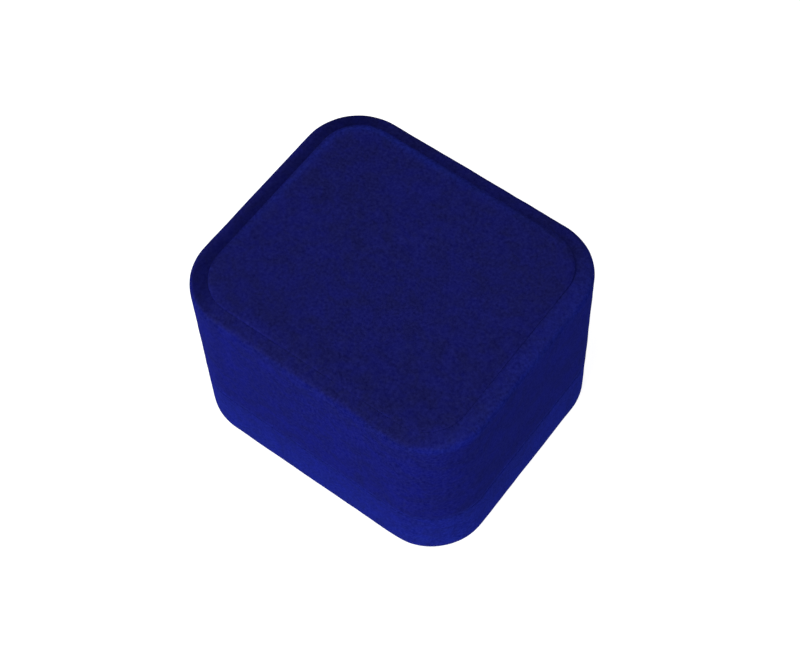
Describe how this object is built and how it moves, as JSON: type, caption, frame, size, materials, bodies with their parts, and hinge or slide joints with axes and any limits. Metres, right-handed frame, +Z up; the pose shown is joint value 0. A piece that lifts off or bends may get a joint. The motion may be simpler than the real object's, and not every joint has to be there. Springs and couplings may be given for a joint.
{
  "type": "ring box",
  "caption": "Shut velvet-covered ring box with a padded top, low base, slotted ring pads, satin-lined lid and a snap hinge at the back.",
  "frame": {"origin": "centre of the underside, on the surface the box stands on", "axes": "+X along the hinge, to the right seen from the front; +Y to the hinge at the back; +Z up"},
  "size_m": [0.058, 0.05, 0.04],
  "materials": {
    "case_velvet": "royal blue flocked velvet, short dense pile",
    "insert_velvet": "royal blue velvet over foam",
    "lining_satin": "ivory satin",
    "moulded_shell": "dark injection moulding",
    "card": "grey board",
    "foam": "open-cell foam and wadding",
    "hinge_steel": "nickel-plated stamped steel"
  },
  "bodies": {
    "base": {"base_shell": "moulded_shell", "base_velvet_wrap": "case_velvet", "base_bottom_cover": "case_velvet", "collar_frame": "card", "collar_velvet": "insert_velvet", "insert_card": "card", "insert_foam_front": "foam", "insert_foam_rear": "foam", "insert_velvet_front": "insert_velvet", "insert_velvet_rear": "insert_velvet", "base_hinge_leaf": "hinge_steel", "hinge_pin": "hinge_steel", "hinge_spring": "hinge_steel", "base_rivet_left": "hinge_steel", "base_rivet_right": "hinge_steel", "spring_rivet": "hinge_steel"},
    "lid": {"lid_shell": "moulded_shell", "lid_velvet_wrap": "case_velvet", "lid_top_card": "card", "lid_top_velvet": "case_velvet", "lid_lining_card": "card", "lid_lining_wadding": "foam", "lid_lining_satin": "lining_satin", "lid_lining_wall": "lining_satin", "lid_hinge_leaf": "hinge_steel", "lid_rivet_left": "hinge_steel", "lid_rivet_right": "hinge_steel"}
  },
  "joints": [
    {"name": "lid_hinge", "type": "hinge", "parent": "base", "child": "lid", "pos_m": [0, 0.0235, 0.0122], "axis": [-1, 0, 0], "range_deg": [0, 95]}
  ]
}
